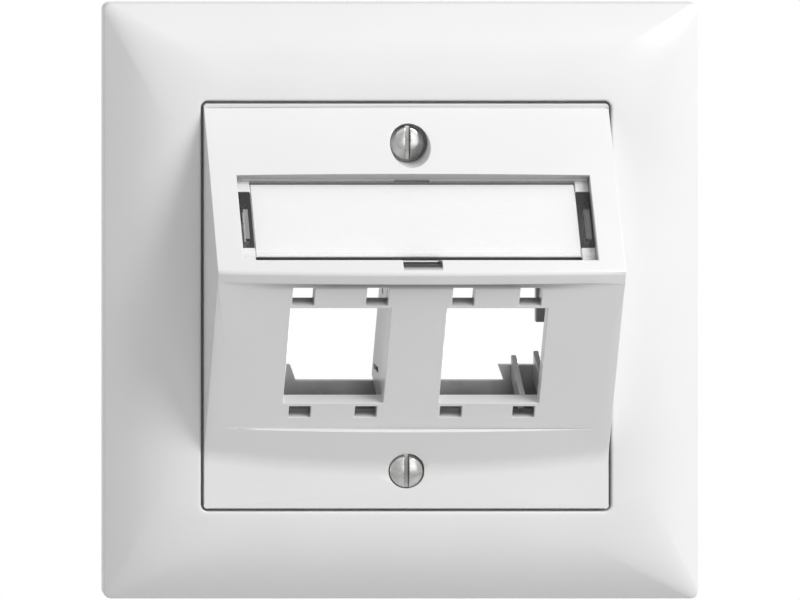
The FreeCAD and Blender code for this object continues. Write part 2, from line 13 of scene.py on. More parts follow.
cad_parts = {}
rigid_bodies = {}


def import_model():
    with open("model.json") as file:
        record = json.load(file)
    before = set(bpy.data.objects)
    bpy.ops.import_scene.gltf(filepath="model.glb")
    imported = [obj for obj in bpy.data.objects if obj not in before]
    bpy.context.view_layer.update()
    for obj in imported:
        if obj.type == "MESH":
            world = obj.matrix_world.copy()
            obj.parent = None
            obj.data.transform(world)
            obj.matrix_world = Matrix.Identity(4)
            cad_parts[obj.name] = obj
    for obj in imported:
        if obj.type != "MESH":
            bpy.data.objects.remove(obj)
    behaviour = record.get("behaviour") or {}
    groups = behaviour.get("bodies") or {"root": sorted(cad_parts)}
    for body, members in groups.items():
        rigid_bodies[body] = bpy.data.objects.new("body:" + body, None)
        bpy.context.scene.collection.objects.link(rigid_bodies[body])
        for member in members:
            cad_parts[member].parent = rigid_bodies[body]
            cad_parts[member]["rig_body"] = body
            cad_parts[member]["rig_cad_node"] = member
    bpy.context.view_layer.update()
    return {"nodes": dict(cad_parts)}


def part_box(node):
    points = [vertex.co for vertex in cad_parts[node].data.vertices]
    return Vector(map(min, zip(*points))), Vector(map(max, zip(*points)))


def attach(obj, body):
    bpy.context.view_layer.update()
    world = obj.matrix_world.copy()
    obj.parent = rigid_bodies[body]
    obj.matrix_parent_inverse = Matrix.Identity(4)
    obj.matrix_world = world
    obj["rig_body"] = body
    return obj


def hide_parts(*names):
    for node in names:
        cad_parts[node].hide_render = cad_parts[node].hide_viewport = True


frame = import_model()

MM = 0.001

SLACK = 0.05  # Millimetres within which two places count as one.
MERGE_DISTANCE = 0.002  # Millimetres within which a copied node's corners are joined.
FLAT_ANGLE = 0.2  # Degrees up to which its triangles make one flat face.
SMOOTH_ANGLE = 30.0  # Degrees past which an edge is shaded sharp.
EDGE_FACES = 2  # Faces across a rounded edge.
RAMP_ENDS = (0.3, 0.7)  # Values of a pattern that give its first and its last colour.
SKY_RAYS = 12  # Rays that look for the walls of a hollow.
CLOSED_SKY = 0.08  # Share of open sky at which a hollow counts as closed in.
FACING = 0.99  # Least cosine between a face's normal and the way that it faces.
WHITE = (1.0, 1.0, 1.0, 1.0)

Piece = bpy.types.Object
Material = bpy.types.Material
Socket = bpy.types.NodeSocket
Value = bpy.types.NodeSocket | float | tuple[float, ...]
Pair = tuple[float, float]
Colour = tuple[float, float, float]
EdgeTest = Callable[[Vector, Vector, float], bool]

log = logging.getLogger("faceplate")


class Slot(Enum):
    """The record's material slots, by name; no piece here reads them."""

    PLASTIC = "white_plastic"
    CLEAR = "clear_plastic"
    SCREW = "nickelled_steel"
    PLATE = "galvanised_steel"


class Body(Enum):
    """Bodies that the pieces ride on."""

    FACEPLATE = "faceplate"
    WINDOW = "window"


# Small tools


def switch_mode(mode: str) -> None:
    """Put the active object into EDIT or OBJECT mode."""
    bpy.ops.object.mode_set(mode=mode)


def deselect_everything() -> None:
    """Leave no object selected, so that an operator acts only on what is picked next."""
    if bpy.context.object and bpy.context.object.mode != "OBJECT":
        switch_mode("OBJECT")
    bpy.ops.object.select_all(action="DESELECT")


def pick(piece: Piece) -> None:
    """Make one object the only selected one, and the active one.

    Args:
        piece: The object to select.
    """
    deselect_everything()
    piece.hide_set(False)
    piece.select_set(True)
    bpy.context.view_layer.objects.active = piece


def duplicate(piece: Piece) -> Piece:
    """Copy a piece with its mesh.

    Args:
        piece: The object.

    Returns:
        The copy.
    """
    pick(piece)
    bpy.ops.object.duplicate()
    return bpy.context.object


def clear_selection(mesh: bpy.types.Mesh) -> None:
    """Leave no corner, edge or face of a mesh selected."""
    for items in (mesh.vertices, mesh.edges, mesh.polygons):
        items.foreach_set("select", [False] * len(items))


def sharp_edges(sharp: float, short: float = 0.0) -> EdgeTest:
    """Make a test for edges that turn by more than sharp degrees and reach short millimetres."""
    return lambda first, last, angle: angle > sharp and (first - last).length >= short * MM


def apply_modifier(piece: Piece, kind: str, **settings: object) -> None:
    """Add a modifier with some settings and apply it at once.

    Args:
        piece: The object.
        kind: The modifier's type.
        settings: Values for its properties.
    """
    pick(piece)
    modifier = piece.modifiers.new(kind.title(), kind)
    for name, value in settings.items():
        setattr(modifier, name, value)
    bpy.ops.object.modifier_apply(modifier=modifier.name)


def unite(piece: Piece, operation: str, other: Piece) -> None:
    """Join a second shape to a piece or cut it out of it, and remove the second shape."""
    apply_modifier(piece, "BOOLEAN", operation=operation, solver="EXACT", object=other)
    bpy.data.objects.remove(other)


def copy_of_node(node: str, name: str) -> Piece:
    """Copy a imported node's mesh and make one clean skin of it.

    Args:
        node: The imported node.
        name: The copy's name.

    Returns:
        The copy, with its loose triangles merged and its flat faces dissolved.
    """
    piece = duplicate(frame["nodes"][node])
    piece.name = name
    piece.data.name = name
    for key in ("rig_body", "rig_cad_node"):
        if key in piece:
            del piece[key]
    piece.parent = None
    pick(piece)
    bpy.ops.mesh.customdata_custom_splitnormals_clear()
    switch_mode("EDIT")
    bpy.ops.mesh.select_all(action="SELECT")
    bpy.ops.mesh.remove_doubles(threshold=MERGE_DISTANCE * MM)
    bpy.ops.mesh.dissolve_limited(angle_limit=math.radians(FLAT_ANGLE),
                                  use_dissolve_boundaries=False)
    switch_mode("OBJECT")
    return piece


def round_edges(piece: Piece, width: float, wanted: EdgeTest) -> None:
    """Round the edges of a piece that pass a test.

    Args:
        piece: The object.
        width: Width of the rounding, in millimetres.
        wanted: Test of an edge's two ends, in metres, and of its angle, in degrees.
    """
    pick(piece)
    switch_mode("EDIT")
    bpy.ops.mesh.select_all(action="SELECT")
    bpy.ops.mesh.vert_connect_concave()
    switch_mode("OBJECT")
    mesh = piece.data
    normals: dict[tuple[int, int], list[Vector]] = {}
    for face in mesh.polygons:
        for key in face.edge_keys:
            normals.setdefault(key, []).append(face.normal)
    clear_selection(mesh)
    for edge in mesh.edges:
        pair = normals.get(edge.key, [])
        angle = math.degrees(pair[0].angle(pair[1], 0.0)) if len(pair) == 2 else 0.0
        ends = [mesh.vertices[index] for index in edge.vertices]
        if wanted(ends[0].co, ends[1].co, angle):
            for item in (edge, *ends):
                item.select = True
    switch_mode("EDIT")
    bpy.ops.mesh.select_mode(type="EDGE")
    bpy.ops.mesh.bevel(offset=width * MM, offset_type="OFFSET", segments=EDGE_FACES, profile=0.5,
                       clamp_overlap=False, miter_outer="SHARP", loop_slide=False)
    switch_mode("OBJECT")


def smooth_faces(piece: Piece, angle: float = SMOOTH_ANGLE) -> None:
    """Shade a piece smooth, with flat faces kept flat beside small roundings.

    Args:
        piece: The object.
        angle: Angle past which an edge is shaded sharp, in degrees.
    """
    pick(piece)
    bpy.ops.object.shade_smooth_by_angle(angle=math.radians(angle))
    apply_modifier(piece, "WEIGHTED_NORMAL", keep_sharp=True)


def dress(piece: Piece, body: Body, finish: Material, node: str) -> None:
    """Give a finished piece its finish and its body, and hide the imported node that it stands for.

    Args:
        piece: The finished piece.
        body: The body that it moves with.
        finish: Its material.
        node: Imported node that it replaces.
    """
    piece.data.materials.clear()
    piece.data.materials.append(finish)
    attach(piece, body.value)
    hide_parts(node)
    log.info("%s: %d faces, replaces %s", piece.name, len(piece.data.polygons), node)


# Finishes


class Slope(Enum):
    """The hood's two slopes, each with its direction upwards and its normal."""

    UPPER = ((0.0, 0.5820, 0.8132), (0.0, -0.8132, 0.5820))
    LOWER = ((0.0, -0.4738, 0.8806), (0.0, -0.8806, -0.4738))


# The point of the ridge from which places on both slopes are measured, in millimetres.
RIDGE = Vector((0.0, -23.2, 7.3))


class NodeBoard:
    """A node tree, with short ways to add and join nodes."""

    def __init__(self, tree: bpy.types.NodeTree) -> None:
        """Empty the tree.

        Args:
            tree: The world's or a material's nodes.
        """
        self.nodes = tree.nodes
        self.links = tree.links
        self.nodes.clear()

    def feed(self, target: Socket, value: Value) -> None:
        """Link a socket to another, or set it to a plain value."""
        if isinstance(value, Socket):
            self.links.new(value, target)
        else:
            target.default_value = value

    def add(self, kind: str, **settings: object) -> bpy.types.Node:
        """Add a node.

        Args:
            kind: The node's type.
            settings: Values for its properties, and values or sockets for its inputs, whose
                names are written with underscores for spaces.

        Returns:
            The node.
        """
        node = self.nodes.new(kind)
        for name, value in settings.items():
            socket = node.inputs.get(name.replace("_", " "))
            if socket is not None and not hasattr(node, name):
                self.feed(socket, value)
            else:
                setattr(node, name, value)
        return node

    def figure(self, operation: str, *values: Socket | float) -> Socket:
        """Work out a number from others.

        Args:
            operation: The Math node's operation.
            values: Sockets or plain numbers, in the node's order.

        Returns:
            The result's socket.
        """
        node = self.add("ShaderNodeMath", operation=operation)
        for socket, value in zip(node.inputs, values):
            self.feed(socket, value)
        return node.outputs["Value"]

    def direct_rays(self) -> Socket:
        """Tell the rays of the eye, of gloss and of clear pieces from the rest.

        Returns:
            A socket that is 1 for such a ray.
        """
        path = self.add("ShaderNodeLightPath").outputs
        direct = self.figure("MAXIMUM", path["Is Camera Ray"], path["Is Glossy Ray"])
        return self.figure("MAXIMUM", direct, path["Is Transmission Ray"])

    def mix(self, share: Socket, first: Socket, last: Socket) -> Socket:
        """Mix two shaders.

        Args:
            share: Share of the last one.
            first: Shader at 0.
            last: Shader at 1.

        Returns:
            The mixed shader's socket.
        """
        node = self.add("ShaderNodeMixShader", Fac=share)
        self.feed(node.inputs[1], first)
        self.feed(node.inputs[2], last)
        return node.outputs["Shader"]


class NodeSheet(NodeBoard):
    """A material's node tree round one Principled shader, with patterns in object space."""

    def __init__(self, name: str) -> None:
        """Start the material.

        Args:
            name: The material's name.
        """
        self.material = bpy.data.materials.new(name)
        self.material.use_nodes = True
        super().__init__(self.material.node_tree)
        self.shader = self.add("ShaderNodeBsdfPrincipled")
        self.output = self.add("ShaderNodeOutputMaterial", Surface=self.shader.outputs["BSDF"])
        self.place = self.add("ShaderNodeTexCoord").outputs["Object"]

    def surface(self, **values: Value) -> Material:
        """Feed the shader.

        Args:
            values: Values or sockets for its inputs, with underscores for spaces.

        Returns:
            The material.
        """
        for name, value in values.items():
            self.feed(self.shader.inputs[name.replace("_", " ")], value)
        return self.material

    def noise(self, scale: float, detail: float, place: Socket | None = None) -> Socket:
        """Add a noise texture of a scale, in features for each metre, and a number of octaves."""
        return self.add("ShaderNodeTexNoise", Vector=place or self.place, Scale=scale,
                        Detail=detail).outputs["Fac"]

    def spread(self, value: Socket, low: float, high: float,
               first: float = 0.0, last: float = 1.0) -> Socket:
        """Map the range from first to last to the one from low to high, and hold it inside."""
        return self.add("ShaderNodeMapRange", Value=value, From_Min=first, From_Max=last,
                        To_Min=low, To_Max=high).outputs["Result"]

    def tint(self, value: Socket, first: Colour, last: Colour) -> Socket:
        """Blend two colours by a pattern's value.

        Args:
            value: The pattern's socket.
            first: Colour at its low values.
            last: Colour at its high values.

        Returns:
            The colour socket.
        """
        ramp = self.add("ShaderNodeValToRGB", Fac=value)
        for element, end, color in zip(ramp.color_ramp.elements, RAMP_ENDS, (first, last)):
            element.position = end
            element.color = (*color, 1.0)
        return ramp.outputs["Color"]

    def on_slope(self, slope: Slope) -> list[Socket]:
        """Measure the surface's place across, up a slope from the ridge, and off its plane.

        Args:
            slope: The slope.

        Returns:
            The three sockets, in millimetres.
        """
        found = []
        for origin, way in ((Vector(), (1.0, 0.0, 0.0)), *((RIDGE, way) for way in slope.value)):
            node = self.add("ShaderNodeVectorMath", operation="DOT_PRODUCT")
            self.feed(node.inputs[0], self.place)
            self.feed(node.inputs[1], tuple(Vector(way) / MM))
            found.append(self.figure("SUBTRACT", node.outputs["Value"], origin.dot(way)))
        return found

    def between(self, value: Socket, low: float, high: float) -> Socket:
        """Give 1 where a value lies between two others, and 0 elsewhere."""
        return self.figure("COMPARE", value, (low + high) / 2, (high - low) / 2)

    def darken(self, color: Socket, level: Socket) -> Socket:
        """Multiply a colour by a level.

        Args:
            color: The colour's socket.
            level: The level's socket.

        Returns:
            The darker colour's socket.
        """
        mixer = self.add("ShaderNodeMix", data_type="RGBA", blend_type="MULTIPLY")
        for socket, value in zip((item for item in mixer.inputs if item.enabled),
                                 (1.0, color, level)):
            self.feed(socket, value)
        return next(socket for socket in mixer.outputs if socket.enabled)

    def paint_hollow_shade(self, color: Socket, reach: float, depth: float, open_sky: float) -> Socket:
        """Paint shade into a colour in hollows whose walls lie within reach, down to depth of
        itself, for the light that such hollows lose.
        """
        hollow = self.add("ShaderNodeAmbientOcclusion", samples=SKY_RAYS, only_local=True,
                          Distance=reach * MM).outputs["AO"]
        return self.darken(color, self.spread(hollow, depth, 1.0, CLOSED_SKY, open_sky))

    def bump(self, value: Socket, depth: float, strength: float,
             under: Socket | None = None) -> Socket:
        """Turn a height into a relief so many millimetres deep, over a coarser one if given."""
        coarser = {} if under is None else {"Normal": under}
        return self.add("ShaderNodeBump", Height=value, Distance=depth * MM, Strength=strength,
                        **coarser).outputs["Normal"]


@dataclass(frozen=True)
class Shade:
    """A hollow of the hood where shade is painted into the plastic's colour, between places on one
    of its slopes.

    Attributes:
        slope: The slope that it is cut in.
        share: Share of the colour that is taken away.
        across: Distances from the middle between which it lies, in millimetres.
        along: The same up the slope from the ridge; off, from the slope's plane.
        off_fade: Heights of full and of no shade; the others, along and across it.
    """

    slope: Slope
    share: float
    across: Pair
    along: Pair
    off: Pair
    off_fade: Pair | None = None
    along_fade: Pair | None = None
    across_fade: Pair | None = None

    def level(self, sheet: NodeSheet) -> Socket:
        """Work out the share of the colour that is left.

        Args:
            sheet: The material's sheet.

        Returns:
            The share's socket.
        """
        across, along, off = sheet.on_slope(self.slope)
        shade = 1.0
        for value, span, fade in (
                (sheet.figure("ABSOLUTE", across), self.across, self.across_fade),
                (along, self.along, self.along_fade), (off, self.off, self.off_fade)):
            shade = sheet.figure("MULTIPLY", shade, sheet.between(value, *span))
            if fade is not None:
                shade = sheet.figure("MULTIPLY", shade, sheet.spread(value, 1.0, 0.0, *fade))
        return sheet.spread(shade, 1.0, 1.0 - self.share)


# Painted shade in the hood's hollows and under its step: each row darkens the colour of the white
# plastic where light is lost.
HOOD_SHADES = (
    # The clip slots.
    Shade(Slope.UPPER, 1.0, (23.87, 25.93), (4.8, 14.0), (-5.6, -1.5), off_fade=(-1.75, -1.5)),
    # The pry notch at the ridge, and the catch notch at the recess's top wall.
    Shade(Slope.UPPER, 0.97, (-0.1, 2.88), (-0.35, 2.75), (-2.1, 2.0), off_fade=(0.8, 1.45)),
    Shade(Slope.UPPER, 0.93, (-0.1, 2.58), (15.5, 16.7), (-2.1, -1.2)),
    # The recess's end walls and its top wall.
    Shade(Slope.UPPER, 0.55, (25.75, 25.95), (1.8, 15.9), (-2.1, 0.4), off_fade=(-1.0, 0.4)),
    Shade(Slope.UPPER, 0.42, (-0.1, 25.95), (15.6, 15.85), (-2.1, 1.5), off_fade=(0.4, 1.4)),
    # The latch windows over and under the ports.
    Shade(Slope.LOWER, 0.55, (0.0, 24.0), (-6.0, -2.7), (-2.1, 0.1), off_fade=(-1.1, -0.3)),
    Shade(Slope.LOWER, 0.7, (0.0, 24.0), (-26.3, -24.1), (-2.1, 0.1), off_fade=(-1.1, -0.3)),
    # The painted shadow under the step over the panel.
    Shade(Slope.LOWER, 0.62, (-0.1, 25.0), (-3.2, -1.7), (-0.1, 1.6), along_fade=(-2.45, -3.1),
          across_fade=(13.0, 25.0)),
)


@dataclass(frozen=True)
class WhitePlastic:
    """Satin gloss moulded plastic with a fine spark-eroded skin, and painted shade in its hollows.

    Patterns are pairs of scale and detail, and reliefs are pairs of depth and strength.
    """

    name: str = "white_plastic_moulding"
    light: Colour = (0.80, 0.80, 0.80)
    shade: Colour = (0.78, 0.78, 0.78)
    roughness: Pair = (0.26, 0.34)
    refraction: float = 1.5
    cloud: Pair = (60.0, 3.0)
    grain: Pair = (9000.0, 2.0)
    wave: Pair = (420.0, 1.0)
    grain_relief: Pair = (0.0012, 0.5)
    wave_relief: Pair = (0.004, 0.5)
    hollow_reach: float = 4.0
    hollow_share: float = 0.1
    open_sky: float = 0.48
    shades: tuple[Shade, ...] = ()

    def make(self) -> Material:
        """Build the finish.

        Returns:
            The material.
        """
        sheet = NodeSheet(self.name)
        grain = sheet.noise(*self.grain)
        # Painted shade: the colour is darkened in hollows, and on the hood also in the listed
        # shades, where the real plastic is as white.
        color = sheet.paint_hollow_shade(sheet.tint(sheet.noise(*self.cloud), self.shade, self.light),
                             self.hollow_reach, self.hollow_share, self.open_sky)
        for hollow in self.shades:
            color = sheet.darken(color, hollow.level(sheet))
        waves = sheet.bump(sheet.noise(*self.wave), *self.wave_relief)
        return sheet.surface(Base_Color=color, Roughness=sheet.spread(grain, *self.roughness),
                             Normal=sheet.bump(grain, *self.grain_relief, waves),
                             IOR=self.refraction)


@dataclass(frozen=True)
class LabelCard:
    """Smooth white card with faint fibres that lie along it."""

    name: str = "label_card_stock"
    light: Colour = (0.84, 0.84, 0.84)
    shade: Colour = (0.81, 0.81, 0.81)
    roughness: Pair = (0.55, 0.7)
    fibre: Pair = (2600.0, 4.0)
    fibre_stretch: Colour = (0.35, 1.0, 1.0)
    fibre_relief: Pair = (0.003, 0.5)

    def make(self) -> Material:
        """Build the finish.

        Returns:
            The material.
        """
        sheet = NodeSheet(self.name)
        stretch = sheet.add("ShaderNodeMapping", Vector=sheet.place, Scale=self.fibre_stretch)
        fibre = sheet.noise(*self.fibre, stretch.outputs["Vector"])
        return sheet.surface(Base_Color=sheet.tint(fibre, self.shade, self.light),
                             Roughness=sheet.spread(fibre, *self.roughness),
                             Normal=sheet.bump(fibre, *self.fibre_relief))


@dataclass(frozen=True)
class ClearPlastic:
    """Clear polished pane, see-through by its alpha, with milky clip arms and long rims.

    The arms lie between places across and along the slope, in millimetres, and the rims beyond
    inner_along. The right arm and the rims are milky by a share of the left arm's milkiness: the
    rims' milkiness is a painted reflection on the pane's edges, and the two arms are one moulding,
    so the left one's greater milkiness is painted light.
    """

    name: str = "clear_pane"
    color: Colour = (0.92, 0.92, 0.92)
    roughness: Pair = (0.03, 0.08)
    refraction: float = 1.49
    pane_alpha: float = 0.03
    arm_alpha: float = 0.3
    left_arm: Pair = (-25.35, -24.65)
    right_arm: Pair = (24.5, 25.45)
    right_share: float = 0.3
    rim_reflection_share: float = 0.4
    arm_along: Pair = (5.75, 10.55)
    inner_along: Pair = (3.52, 15.25)
    pane_off: Pair = (-1.55, -0.45)
    wave: Pair = (300.0, 1.0)
    wave_relief: Pair = (0.002, 0.4)

    def make(self) -> Material:
        """Build the finish.

        Returns:
            The material.
        """
        sheet = NodeSheet(self.name)
        across, along, off = sheet.on_slope(Slope.UPPER)
        # Painted light: the left arm is drawn milkier and lighter than the right; the rims are made
        # milky as a painted reflection.
        arms = sheet.figure("MULTIPLY_ADD", sheet.between(across, *self.right_arm),
                            self.right_share, sheet.between(across, *self.left_arm))
        arms = sheet.figure("MULTIPLY", arms, sheet.between(along, *self.arm_along))
        beyond = sheet.figure("SUBTRACT", 1.0, sheet.between(along, *self.inner_along))
        rims = sheet.figure("MULTIPLY", beyond, sheet.between(off, *self.pane_off))
        milky = sheet.figure("MULTIPLY_ADD", rims, self.rim_reflection_share, arms)
        wave = sheet.noise(*self.wave)
        return sheet.surface(Alpha=sheet.spread(milky, self.pane_alpha, self.arm_alpha),
                             Roughness=sheet.spread(wave, *self.roughness),
                             Normal=sheet.bump(wave, *self.wave_relief),
                             Base_Color=(*self.color, 1.0), IOR=self.refraction)


@dataclass(frozen=True)
class SheetMetal:
    """Plated or galvanised steel with a soft sheen and faint blotches, or a zinc coat's crystals.

    Its grain is finer than its blotches by grain_ratio. With a hollow_share under 1, shade is
    painted into its hollows.
    """

    name: str
    light: Colour
    shade: Colour
    roughness: Pair
    blotch_scale: float
    blotch_detail: float = 2.0
    grain_ratio: float = 12.0
    grain_detail: float = 3.0
    grain_relief: Pair = (0.002, 0.5)
    hollow_reach: float = 3.0
    hollow_share: float = 1.0
    open_sky: float = 0.9
    spangled: bool = False

    def make(self) -> Material:
        """Build the finish.

        Returns:
            The material.
        """
        sheet = NodeSheet(self.name)
        if self.spangled:
            blotch = sheet.add("ShaderNodeTexVoronoi", Vector=sheet.place,
                               Scale=self.blotch_scale).outputs["Color"]
        else:
            blotch = sheet.noise(self.blotch_scale, self.blotch_detail)
        grain = sheet.noise(self.blotch_scale * self.grain_ratio, self.grain_detail)
        color = sheet.tint(blotch, self.light, self.shade)
        # Painted shade in its hollows, used for the nickel screws.
        if self.hollow_share < 1.0:
            color = sheet.paint_hollow_shade(color, self.hollow_reach, self.hollow_share, self.open_sky)
        return sheet.surface(Base_Color=color, Roughness=sheet.spread(grain, *self.roughness),
                             Normal=sheet.bump(grain, *self.grain_relief), Metallic=1.0)


class Finishes:
    """Every finish of the faceplate, made once."""

    def __init__(self) -> None:
        """Make them in order."""
        self.plastic = WhitePlastic().make()
        self.hood = WhitePlastic("white_hood_moulding", shades=HOOD_SHADES).make()
        self.card = LabelCard().make()
        self.clear = ClearPlastic().make()
        self.nickel = SheetMetal(
            "nickel_plate", light=(0.46, 0.46, 0.45), shade=(0.36, 0.36, 0.35),
            roughness=(0.14, 0.24), blotch_scale=900.0, hollow_share=0.1).make()
        self.zinc = SheetMetal(
            "galvanised_sheet", light=(0.37, 0.37, 0.375), shade=(0.335, 0.335, 0.34),
            roughness=(0.42, 0.56), blotch_scale=420.0, spangled=True).make()


# Pieces


@dataclass(frozen=True)
class Outline:
    """A square outline with round corners, at one height off the wall or laid on the crown.

    Out is its height off the wall, or its depth under the crown where on_crown is true.
    """

    half: float
    radius: float
    out: float
    on_crown: bool = False


@dataclass
class CoverFrame:
    """The crowned cover frame: one skin that runs over the crown, through the window and back.

    Its corners grow inwards by corner_swell, and close corner_closing times as fast towards the
    window. A soft corner of corner_power is corner_stretch times as long as a round one.
    """

    finishes: Finishes
    node: str = "cover_frame"
    corner_radius: float = 1.2
    corner_swell: float = 0.85
    corner_closing: float = 1.6
    corner_power: float = 2.8
    corner_stretch: float = 1.3356
    halvings: int = 24
    edge_out: float = 2.4
    edge_softening: float = 0.8
    crown_power: float = 2.4
    crown_rings: int = 26
    wall: float = 1.8
    window_side: float = 60.5
    window_radius: float = 1.1
    lip_radius: float = 0.32
    ledge_width: float = 2.2
    ledge_front: float = 5.2
    ledge_back: float = 3.8
    collar_wall: float = 1.6
    hollow_shares: Pair = (0.878, 0.046)
    hollow_rings: int = 10
    chamfer: float = 0.15
    corner_steps: int = 9
    side_steps: int = 9
    arc_steps: int = 4
    rib_thickness: float = 1.2
    rib_offset: float = 15.0
    rib_back: float = 1.8
    rib_steps: int = 8
    rib_root: float = 0.4
    rib_sharp: float = 60.0

    def __post_init__(self) -> None:
        """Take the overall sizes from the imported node."""
        low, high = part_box(self.node)
        self.half = high.x / MM
        self.face_out = -low.y / MM
        self.window_half = self.window_side / 2
        self.band = self.half - self.window_half
        self.rise = self.face_out - self.edge_out

    def build(self) -> None:
        """Run the skin from outline to outline, close it, add the ribs and dress it."""
        rings = self.crown_outlines() + self.back_outlines()
        deselect_everything()
        bpy.ops.mesh.primitive_circle_add(vertices=len(self.outline_points(rings[0])),
                                          radius=self.half * MM, rotation=(math.pi / 2, 0, 0))
        piece = bpy.context.object
        piece.name = "cover_frame_moulding"
        bpy.ops.object.transform_apply()
        switch_mode("EDIT")
        bpy.ops.mesh.select_mode(type="EDGE")
        bpy.ops.mesh.select_all(action="SELECT")
        self.lay_loop(piece, rings[0])
        for outline in rings[1:]:
            bpy.ops.mesh.extrude_edges_move()
            self.lay_loop(piece, outline)
        bpy.ops.mesh.select_all(action="DESELECT")
        bpy.ops.mesh.select_non_manifold()
        bpy.ops.mesh.bridge_edge_loops()
        bpy.ops.mesh.select_all(action="SELECT")
        bpy.ops.mesh.normals_make_consistent(inside=False)
        unite(piece, "UNION", self.model_ribs())
        smooth_faces(piece)
        dress(piece, Body.FACEPLATE, self.finishes.plastic, self.node)

    def crown_out(self, share: float) -> float:
        """Height of the crown at a share of the way in from the outer edge."""
        return self.face_out - self.rise * (1 - min(share, 1.0)) ** self.crown_power

    def crown_tilt(self, share: float) -> float:
        """Angle of the crown there, in radians."""
        steepest = self.crown_power * self.rise / self.band
        return math.atan(steepest * (1 - share) ** (self.crown_power - 1))

    def crown_out_at(self, x: float, z: float) -> float:
        """Height of the crown over a place on the wall.

        Its level lines are squares whose soft corners grow inwards, so the way in to the one
        through the place is found by halving.

        Args:
            x: Place across, in millimetres.
            z: Place up.

        Returns:
            The height off the wall.
        """
        x, z = abs(x), abs(z)
        near, far = 0.0, max(self.half - max(x, z), 0.0)
        for _ in range(self.halvings):
            inset = (near + far) / 2
            reach = self.corner_stretch * (self.corner_radius + self.corner_swell * inset)
            start = self.half - inset - reach
            beyond = sum(max(place - start, 0.0) ** self.corner_power for place in (x, z))
            if beyond < reach ** self.corner_power:
                near = inset
            else:
                far = inset
        return self.crown_out(far / self.band)

    def hollow_steps(self, steps: int) -> list[Pair]:
        """Half sides and heights of the hollow's outlines, a wall inside the crown.

        Args:
            steps: Number of equal steps from its inner end to its outer one.

        Returns:
            One pair for each end of a step.
        """
        first, last = self.hollow_shares
        pairs = []
        for step in range(steps + 1):
            share = first + (last - first) * step / steps
            tilt = self.crown_tilt(share)
            pairs.append((self.half - self.band * share - self.wall * math.sin(tilt),
                          self.crown_out(share) - self.wall * math.cos(tilt)))
        return pairs

    def crown_outlines(self) -> list[Outline]:
        """Lay out the front.

        Returns:
            Outlines from the skirt's back over its soft edge and the crown to the window's lip.
        """
        soft, lip = self.edge_softening, self.lip_radius
        last = self.band - lip
        closing = self.corner_closing * self.corner_swell

        def over_crown(inset: float, out: float, on_crown: bool = False) -> Outline:
            """Outline at an inset; its corners grow inwards, and close again to the window's."""
            radius = min(self.corner_radius + self.corner_swell * inset,
                         self.window_radius + lip + closing * (last - inset))
            return Outline(self.half - inset, radius, out, on_crown)

        rings = [Outline(self.half - self.chamfer, self.corner_radius, 0.0),
                 Outline(self.half, self.corner_radius, self.chamfer)]
        turn = math.pi / 2 - self.crown_tilt(0)
        start = self.edge_out - soft * math.tan(turn / 2)
        for step in range(self.arc_steps + 1):
            angle = turn * step / self.arc_steps
            rings.append(over_crown(soft * (1 - math.cos(angle)), start + soft * math.sin(angle)))
        first = soft * (1 - math.cos(turn))
        for step in range(1, self.crown_rings + 1):
            inset = first + (last - first) * step / self.crown_rings
            rings.append(over_crown(inset, 0.0, True))
        for step in range(1, self.arc_steps + 1):
            angle = math.pi / 2 * step / self.arc_steps
            grow = lip * (1 - math.sin(angle))
            rings.append(Outline(self.window_half + grow, self.window_radius + grow,
                                 lip * (1 - math.cos(angle)), True))
        return rings

    def back_outlines(self) -> list[Outline]:
        """Lay out the back.

        Returns:
            Outlines from the window's wall round ledge and collar, under the crown to the rim.
        """
        opening, cut, radius = self.window_half - self.ledge_width, self.chamfer, self.window_radius
        collar, outer = self.window_half + self.collar_wall, self.window_radius + self.collar_wall
        front, back = self.ledge_front, self.ledge_back
        rings = [Outline(self.window_half, radius, front),
                 Outline(opening + cut, radius + cut, front),
                 Outline(opening, radius, front - cut), Outline(opening, radius, back + cut),
                 Outline(opening + cut, radius + cut, back),
                 Outline(collar - cut, outer - cut, back), Outline(collar, outer, back + cut)]
        for step, (half, out) in enumerate(self.hollow_steps(self.hollow_rings)):
            blend = step / self.hollow_rings
            rings.append(Outline(half, outer + (self.corner_radius - outer) * blend, out))
        room = rings[-1].half
        rings += [Outline(room, self.corner_radius, cut),
                  Outline(room + cut, self.corner_radius, 0.0)]
        return rings

    def outline_points(self, outline: Outline) -> list[Vector]:
        """Lay an outline out as points.

        Args:
            outline: The outline.

        Returns:
            Its points in metres, in the order of their direction from the middle.
        """
        flat = []
        middle = outline.half - outline.radius
        for quarter in range(4):
            turn = Matrix.Rotation(math.pi / 2 * quarter, 2)
            for step in range(self.corner_steps + 1):
                angle = math.pi / 2 * step / self.corner_steps
                flat.append(turn @ Vector((middle + outline.radius * math.cos(angle),
                                           middle + outline.radius * math.sin(angle))))
            for step in range(1, self.side_steps):
                along = middle * (1 - 2 * step / self.side_steps)
                flat.append(turn @ Vector((along, outline.half)))
        points = []
        for x, z in sorted(flat, key=lambda point: math.atan2(point.y, point.x)):
            out = self.crown_out_at(x, z) - outline.out if outline.on_crown else outline.out
            points.append(Vector((x, -out, z)) * MM)
        return points

    def lay_loop(self, piece: Piece, outline: Outline) -> None:
        """Set the selected loop of vertices out as an outline.

        Args:
            piece: The frame, in edit mode.
            outline: Where the loop goes.
        """
        skin = bmesh.from_edit_mesh(piece.data)
        loop = sorted((vertex for vertex in skin.verts if vertex.select),
                      key=lambda vertex: math.atan2(vertex.co.z, vertex.co.x))
        for vertex, place in zip(loop, self.outline_points(outline), strict=True):
            vertex.co = place
        bmesh.update_edit_mesh(piece.data)

